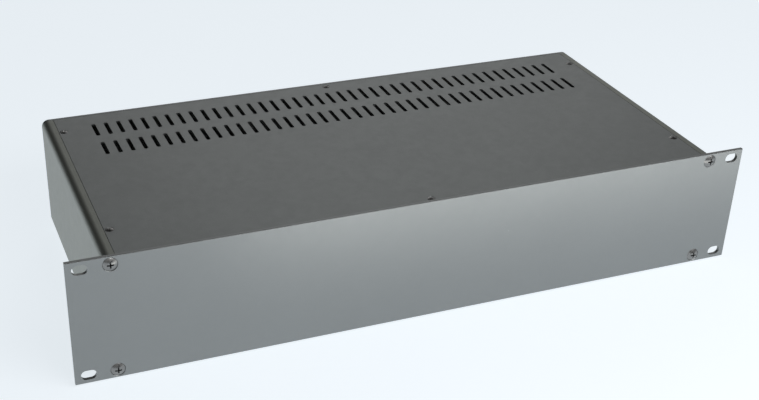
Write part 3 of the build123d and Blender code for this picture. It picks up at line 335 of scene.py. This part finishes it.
def add_piece(name, data, slot, body="chassis", finish=None):
    """Link a new piece, give it its finish and let it ride on its body."""
    data.materials.append(MATERIALS[finish or slot])
    piece = bpy.data.objects.new(name, data)
    bpy.context.scene.collection.objects.link(piece)
    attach(piece, body)
    return piece


def mesh_data(name, mesh):
    """Mesh data from a bmesh, with its faces turned outwards."""
    bmesh.ops.recalc_face_normals(mesh, faces=mesh.faces)
    data = bpy.data.meshes.new(name)
    mesh.to_mesh(data)
    mesh.free()
    return data


def smoothed(data, angle=0.6):
    """Shade smooth, but keep edges sharper than the angle."""
    data.shade_smooth()
    mesh = bmesh.new()
    mesh.from_mesh(data)
    for edge in mesh.edges:
        if len(edge.link_faces) == 2 and edge.calc_face_angle() > angle:
            edge.smooth = False
    mesh.to_mesh(data)
    mesh.free()
    return data


def centre_of(node):
    low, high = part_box(node)
    return (low + high) / 2


def swept(mesh, rings, closed=False):
    """Skin a list of rings of points, each ring a closed loop. Ends are capped unless the rings close up."""
    loops = [[mesh.verts.new(point) for point in ring] for ring in rings]
    pairs = list(zip(loops, loops[1:]))
    if closed:
        pairs.append((loops[-1], loops[0]))
    count = len(loops[0])
    for one, two in pairs:
        for i in range(count):
            j = (i + 1) % count
            mesh.faces.new((one[i], one[j], two[j], two[i]))
    if not closed:
        mesh.faces.new(list(reversed(loops[0])))
        mesh.faces.new(loops[-1])


def round_angles(sides):
    return [2 * math.pi * i / sides for i in range(sides)]


def circle_y(x, z, r, y, sides=36):
    """Points round an axis along Y."""
    return [(x + r * math.cos(angle), y, z + r * math.sin(angle)) for angle in round_angles(sides)]


def turned(mesh, outline, x, z, sides):
    """A ring about an axis along Y, from a closed outline of (radius, y) points."""
    swept(mesh, [[(x + r * math.cos(angle), y, z + r * math.sin(angle)) for r, y in outline]
                 for angle in round_angles(sides)], closed=True)


def turned_up(mesh, outline, x, y, sides=48):
    """A ring about an upright axis, from a closed outline of (radius, z) points."""
    swept(mesh, [[(x + r * math.cos(angle), y + r * math.sin(angle), z) for r, z in outline]
                 for angle in round_angles(sides)], closed=True)


def bar_corners(x, y, wide, long, turn):
    """The corners of a rectangle turned about its own middle."""
    c, s = math.cos(turn), math.sin(turn)
    halves = ((-wide / 2, -long / 2), (wide / 2, -long / 2), (wide / 2, long / 2), (-wide / 2, long / 2))
    return [(x + dx * c - dy * s, y + dx * s + dy * c) for dx, dy in halves]


def bar_y(mesh, x, z, wide, high, y0, y1, turn=0.0):
    """A bar of ink or metal between two planes across Y."""
    corners = bar_corners(x, z, wide, high, turn)
    swept(mesh, [[(px, y, pz) for px, pz in corners] for y in (y0, y1)])


def printed_bar(mesh, x, z, wide, high, turn=0.0):
    """A bar of ink on the rear panel."""
    bar_y(mesh, x, z, wide, high, PANEL_BACK, PANEL_BACK + INK, turn)


def thread(mesh, x, z, core, crest, pitch, y0, y1, sides=28):
    """A screw thread: a ridge with a V section along a helix, about an axis along Y."""
    steps = int((y1 - y0) / pitch * sides)
    foot, tip, root = pitch * 0.42, pitch * 0.06, core - 0.2 * MM
    rings = []
    for i in range(steps + 1):
        angle = 2 * math.pi * i / sides
        out_x, out_z = math.cos(angle), math.sin(angle)
        top = core + (crest - core) * min(1.0, i / sides, (steps - i) / sides)
        y = y0 + (y1 - y0) * i / steps
        section = ((root, -foot), (core, -foot), (top, -tip), (top, tip), (core, foot), (root, foot))
        rings.append([(x + r * out_x, y + dy, z + r * out_z) for r, dy in section])
    swept(mesh, rings)


def add_earth_stud():
    """The earth stud, with its core, its rolled thread and its chamfered end."""
    low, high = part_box("earth_stud")
    middle = (low + high) / 2
    crest = (high.x - low.x) / 2
    core, bevel = crest - 0.45 * MM, 0.6 * MM
    mesh = bmesh.new()
    outline = [(core - bevel, low.y), (core, low.y + bevel), (core, high.y - bevel), (core - bevel, high.y)]
    swept(mesh, [circle_y(middle.x, middle.z, r, y) for r, y in outline])
    thread(mesh, middle.x, middle.z, core, crest, 0.8 * MM, low.y + bevel, high.y - bevel)
    stud = add_piece("earth_stud_threaded", smoothed(mesh_data("earth_stud_threaded", mesh)), "plated_steel")
    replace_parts(stud, "earth_stud")


def add_level_scales():
    """Eleven printed ticks round each level control, longer at both ends and in the middle."""
    mesh = bmesh.new()
    for node in ("left_level_knob", "right_level_knob"):
        middle = centre_of(node)
        for i in range(11):
            angle = math.radians(-150 + 30 * i)
            long = 2.2 * MM if i % 5 == 0 else 1.3 * MM
            radius = 9.0 * MM + long / 2
            x, z = middle.x - radius * math.sin(angle), middle.z + radius * math.cos(angle)
            printed_bar(mesh, x, z, 0.4 * MM, long, angle)
    add_piece("level_scales", mesh_data("level_scales", mesh), "rear_paint", finish="white_ink")


def add_pointer_fills():
    """White paint in each knob's pointer groove."""
    for side in ("left", "right"):
        low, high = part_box(f"{side}_level_knob")
        middle = (low + high) / 2
        mesh = bmesh.new()
        bar_y(mesh, middle.x, middle.z + 4.7 * MM, 0.9 * MM, 5.0 * MM, high.y - 0.7 * MM, high.y - 0.25 * MM)
        name = f"{side}_knob_pointer"
        add_piece(name, mesh_data(name, mesh), "black_plastic", f"{side}_control", "white_ink")


def add_post_marks():
    """A plus beside each red post and a minus beside each black one."""
    mesh = bmesh.new()
    for side in ("left", "right"):
        for colour in ("red", "black"):
            middle = centre_of(f"{side}_{colour}_cap")
            x, z = middle.x - 12.5 * MM, middle.z
            printed_bar(mesh, x, z, 3.2 * MM, 0.55 * MM)
            if colour == "red":
                printed_bar(mesh, x, z + 0.94 * MM, 0.55 * MM, 1.32 * MM)
                printed_bar(mesh, x, z - 0.94 * MM, 0.55 * MM, 1.32 * MM)
    add_piece("speaker_post_marks", mesh_data("speaker_post_marks", mesh), "rear_paint", finish="white_ink")


def add_earth_mark():
    """The general earth symbol above the earth stud: a stem and three bars, each shorter than the last."""
    middle = centre_of("earth_stud")
    mesh = bmesh.new()
    base = middle.z + 9.5 * MM
    printed_bar(mesh, middle.x, base + 2.15 * MM, 0.5 * MM, 2.6 * MM)
    for i in range(3):
        printed_bar(mesh, middle.x, base + (0.6 - i) * MM, (4.6 - 1.5 * i) * MM, 0.5 * MM)
    add_piece("earth_mark", mesh_data("earth_mark", mesh), "rear_paint", finish="white_ink")


def add_scale_numbers():
    """0, 5 and 10 round each level scale."""
    radius = 12.9 * MM
    facing = Matrix.Rotation(math.pi, 4, "Z") @ Matrix.Rotation(math.pi / 2, 4, "X")
    for side in ("left", "right"):
        middle = centre_of(f"{side}_level_knob")
        for label, angle in (("0", -150), ("5", 0), ("10", 150)):
            turn = math.radians(angle)
            curve = bpy.data.curves.new("number", "FONT")
            curve.body, curve.size, curve.extrude = label, 2.6 * MM, INK / 2
            curve.align_x, curve.align_y = "CENTER", "CENTER"
            text = bpy.data.objects.new("number", curve)
            bpy.context.scene.collection.objects.link(text)
            data = bpy.data.meshes.new_from_object(text)
            bpy.data.objects.remove(text)
            place = Vector((middle.x - radius * math.sin(turn), PANEL_BACK + INK / 2,
                            middle.z + radius * math.cos(turn)))
            data.transform(Matrix.Translation(place) @ facing)
            name = f"{side}_scale_number_{label}"
            data.name = name
            data.materials.clear()
            add_piece(name, data, "rear_paint", finish="white_ink")


def add_rocker_marks():
    """A bar on the rocker's upper half and a ring on its lower half."""
    joint = next(joint for joint in frame["joints"] if joint["name"] == "power_rocker_tilt")
    half_throw = math.radians(joint["range_deg"][1] / 2)
    tilt = Matrix.Translation(joint["pos_m"]) @ Matrix.Rotation(-half_throw, 4, "X")
    slope, valley = 0.165, 3.6 * MM  # how the rocker's two faces rise from its middle
    mesh = bmesh.new()
    mark_height, inner, outer = 6.3 * MM, 1.5 * MM, 2.1 * MM
    corners = bar_corners(0, mark_height, 0.8 * MM, 3.8 * MM, 0)
    swept(mesh, [[(x, valley + slope * z + lift, z) for x, z in corners] for lift in (-INK, INK)])
    rings = []
    for angle in round_angles(40):
        ring = []
        for r, lift in ((inner, -INK), (outer, -INK), (outer, INK), (inner, INK)):
            z = r * math.sin(angle) - mark_height
            ring.append((r * math.cos(angle), valley - slope * z + lift, z))
        rings.append(ring)
    swept(mesh, rings, closed=True)
    bmesh.ops.transform(mesh, matrix=tilt, verts=mesh.verts)
    add_piece("rocker_marks", mesh_data("rocker_marks", mesh), "black_plastic", "rocker", "white_ink")


def add_contact_sleeves():
    """A brass sleeve in each hole of the two input sockets."""
    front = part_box("xlr_inserts")[1].y - 0.6 * MM
    back, lip = front - 10 * MM, front - 0.2 * MM
    outline = [(0.8 * MM, back), (1.25 * MM, back), (1.25 * MM, lip), (1.05 * MM, front), (0.8 * MM, lip)]
    mesh = bmesh.new()
    for tab in ("left_latch_tab", "right_latch_tab"):
        middle = centre_of(tab).x
        for dx, z in ((-3.6, -1.6), (3.6, -1.6), (0, 4.0)):  # the socket's three holes, in millimetres
            turned(mesh, outline, middle + dx * MM, z * MM, 20)
    data = smoothed(mesh_data("input_contact_sleeves", mesh))
    add_piece("input_contact_sleeves", data, "nickel", finish="brass")


def add_post_studs():
    """The binding posts' threaded studs, each bored for a plug."""
    low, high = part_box("binding_post_studs")
    core, crest, bore, bevel, edge = 2.6 * MM, 3.0 * MM, 2.05 * MM, 0.5 * MM, 0.1 * MM
    bottom = high.y - 16 * MM
    outline = [(core - bevel, low.y), (core, low.y + bevel), (core, high.y - edge), (core - edge, high.y),
               (bore + edge, high.y), (bore, high.y - edge), (bore, bottom), (0.05 * MM, bottom - 0.8 * MM)]
    mesh = bmesh.new()
    for post in ("left_red_cap", "left_black_cap", "right_red_cap", "right_black_cap"):
        middle = centre_of(post)
        swept(mesh, [circle_y(middle.x, middle.z, r, y) for r, y in outline])
        thread(mesh, middle.x, middle.z, core, crest, 1.0 * MM, low.y + bevel, high.y - 1.0 * MM)
    data = smoothed(mesh_data("binding_post_studs_threaded", mesh))
    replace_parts(add_piece("binding_post_studs_threaded", data, "nickel"), "binding_post_studs")


def add_wound_toroid():
    """The transformer's ring in overlapping turns of tape, each a little proud of the one before."""
    low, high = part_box("transformer_winding")
    middle = (low + high) / 2
    half_wide, half_high = (high.x - low.x) / 4 - 10 * MM, (high.z - low.z) / 2
    mid_radius = (high.x - low.x) / 2 - half_wide
    turns, around, section, overlap = 46, 368, 44, 0.5 * MM
    rings = []
    for angle in round_angles(around):
        ring = []
        for turn in round_angles(section):
            c, s = math.cos(turn), math.sin(turn)
            reach = (c**4 + s**4) ** -0.25  # makes the section a rounded rectangle
            inset = overlap * ((turns * (angle / (2 * math.pi) + 0.012 * s)) % 1.0)
            radius = mid_radius + (half_wide - inset) * c * reach
            height = (half_high - inset) * s * reach
            ring.append(middle + Vector((radius * math.cos(angle), radius * math.sin(angle), height)))
        rings.append(ring)
    mesh = bmesh.new()
    swept(mesh, rings, closed=True)
    data = smoothed(mesh_data("transformer_taped_winding", mesh), 0.9)
    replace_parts(add_piece("transformer_taped_winding", data, "winding_tape"), "transformer_winding")


def add_capacitor_tops():
    """Each reservoir capacitor's crimped top with its crossed vent grooves, and the stripe down its side."""
    low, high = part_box("reservoir_capacitors")
    y, top, radius = (low.y + high.y) / 2, high.z, (high.y - low.y) / 2
    rim, face = radius - 1.3 * MM, top + 0.02 * MM
    outline = [(0.05 * MM, top - 0.3 * MM), (rim, top - 0.3 * MM), (rim, face),
               (rim - 0.5 * MM, top + 0.12 * MM), (rim - 1.0 * MM, face), (0.05 * MM, face)]
    bottom, end, inner, outer = low.z + 3 * MM, top - 3 * MM, radius - 0.1 * MM, radius + 0.05 * MM
    tops, stripes = bmesh.new(), bmesh.new()
    first, last = low.x + radius, high.x - radius
    for i in range(4):
        x = first + (last - first) * i / 3
        turned_up(tops, outline, x, y)
        for turn in (0, math.pi / 2):
            corners = bar_corners(x, y, 16 * MM, 0.7 * MM, turn)
            swept(tops, [[(px, py, z) for px, py in corners] for z in (top, top + 0.1 * MM)])
        rings = []
        for degrees in range(-110, -65, 5):
            c, s = math.cos(math.radians(degrees)), math.sin(math.radians(degrees))
            rings.append([(x + r * c, y + r * s, z)
                          for r, z in ((inner, bottom), (outer, bottom), (outer, end), (inner, end))])
        swept(stripes, rings)
    tops = smoothed(mesh_data("capacitor_tops", tops))
    stripes = smoothed(mesh_data("capacitor_stripes", stripes))
    add_piece("capacitor_tops", tops, "capacitor_sleeve", finish="bare_aluminium")
    add_piece("capacitor_stripes", stripes, "capacitor_sleeve", finish="white_ink")


add_earth_stud()
add_post_studs()
add_level_scales()
add_scale_numbers()
add_pointer_fills()
add_post_marks()
add_earth_mark()
add_rocker_marks()
add_contact_sleeves()
add_wound_toroid()
add_capacitor_tops()

# ---- floor, light and camera ----
FLOOR_Z = cad_box[0][2]
FLOOR_SIDE, FLOOR_ROWS = 12.0, 24
FLOOR_GLOW = 0.81
BACKDROP = (0.79, 0.84, 0.88)
# the room's brightness by the upward part of a direction
ROOM_HEIGHT = ((0.0, 0.05), (0.25, 0.05), (0.4, 0.03), (1.0, 0.03))
# direction and strength of each window, and how its glow grows towards its middle
WINDOWS = (((0.37, 0.85, 0.31), 0.72), ((0.2, 0.85, 0.5), 0.1),
           ((-0.3, -0.8, 0.5), 0.5), ((0.8, -0.5, 0.4), 0.3))
WINDOW_GLOW = ((0.82, 0.0), (0.92, 0.25), (0.97, 0.85), (1.0, 1.0))


def make_floor():
    """A plain pale table top, which glows a little so that its shadows stay soft."""
    mesh = bmesh.new()
    bmesh.ops.create_grid(mesh, x_segments=FLOOR_ROWS, y_segments=FLOOR_ROWS, size=FLOOR_SIDE / 2)
    data = bpy.data.meshes.new("floor")
    mesh.to_mesh(data)
    mesh.free()
    floor = bpy.data.objects.new("floor", data)
    bpy.context.scene.collection.objects.link(floor)
    floor.location.z = FLOOR_Z - 0.2 * MM
    finish = Finish("floor_pale", (0.36, 0.37, 0.385), 0.0, 0.8, Emission_Strength=FLOOR_GLOW)
    finish.shader.inputs["Emission Color"].default_value = (0.90, 0.965, 1.015, 1)
    finish.mottled(600 * MM, 0.03)
    data.materials.append(finish.material)


def make_world():
    """A pale backdrop for the eye, and for the reflections a dim room with soft windows."""
    world = bpy.data.worlds.new("room")
    bpy.context.scene.world = world
    world.use_nodes = True
    tree = world.node_tree
    ray = tree.nodes.new("ShaderNodeTexCoord").outputs["Generated"]
    split = tree.nodes.new("ShaderNodeSeparateXYZ")
    tree.links.new(ray, split.inputs[0])
    light = ramped(tree, split.outputs["Z"], ROOM_HEIGHT)
    for direction, strength in WINDOWS:
        toward = tree.nodes.new("ShaderNodeVectorMath")
        toward.operation = "DOT_PRODUCT"
        tree.links.new(ray, toward.inputs[0])
        toward.inputs[1].default_value = Vector(direction).normalized()
        more = tree.nodes.new("ShaderNodeMix")
        more.data_type = "RGBA"
        more.blend_type = "ADD"
        more.inputs["Factor"].default_value = strength
        tree.links.new(light, more.inputs[MIX_A])
        tree.links.new(ramped(tree, toward.outputs["Value"], WINDOW_GLOW), more.inputs[MIX_B])
        light = more.outputs[MIX_COLOUR]
    seen = tree.nodes.new("ShaderNodeMix")
    seen.data_type = "RGBA"
    tree.links.new(tree.nodes.new("ShaderNodeLightPath").outputs["Is Camera Ray"], seen.inputs["Factor"])
    tree.links.new(light, seen.inputs[MIX_A])
    seen.inputs[MIX_B].default_value = (*BACKDROP, 1)
    tree.links.new(seen.outputs[MIX_COLOUR], tree.nodes["Background"].inputs["Color"])


def make_light(name, place, upward, size, power, colour):
    """A flat lamp that faces up or down and that the camera doesn't see."""
    data = bpy.data.lights.new(name, "AREA")
    data.shape = "RECTANGLE"
    data.size, data.size_y = size
    data.energy = power
    data.color = colour
    light = bpy.data.objects.new(name, data)
    light.location = place
    light.rotation_euler.x = math.pi if upward else 0
    light.visible_camera = False
    bpy.context.scene.collection.objects.link(light)


CAMERA_PLACE = (-0.3320, -0.6549, 0.4357)
CAMERA_TURN, CAMERA_DIP, CAMERA_ROLL = 22.433, -29.736, 1.680  # degrees to the right, up and about its axis
CAMERA_LENS, CAMERA_SHIFT = 60.426, (0.0440, 0.0422)


def make_camera():
    data = bpy.data.cameras.new("camera")
    data.lens = CAMERA_LENS
    data.sensor_width = 36.0
    data.shift_x, data.shift_y = CAMERA_SHIFT
    data.clip_start = 0.01
    camera = bpy.data.objects.new("camera", data)
    turn = Matrix.Rotation(-math.radians(CAMERA_TURN), 4, "Z")
    dip = Matrix.Rotation(math.radians(90 + CAMERA_DIP), 4, "X")
    roll = Matrix.Rotation(math.radians(CAMERA_ROLL), 4, "Z")
    camera.matrix_world = Matrix.Translation(CAMERA_PLACE) @ turn @ dip @ roll
    bpy.context.scene.collection.objects.link(camera)
    bpy.context.scene.camera = camera


make_floor()
make_world()
# one soft light above the table in front, facing down, and the glow that it makes on the table
make_light("table_light", (0.45, -0.60, 0.55), False, (1.2, 0.5), 6.5, (0.98, 0.99, 1.0))
make_light("table_bounce", (0.17, -0.30, FLOOR_Z + 3 * MM), True, (0.5, 0.3), 0.88, (1.0, 0.98, 0.92))
make_camera()
bpy.context.scene.view_settings.view_transform = "Standard"
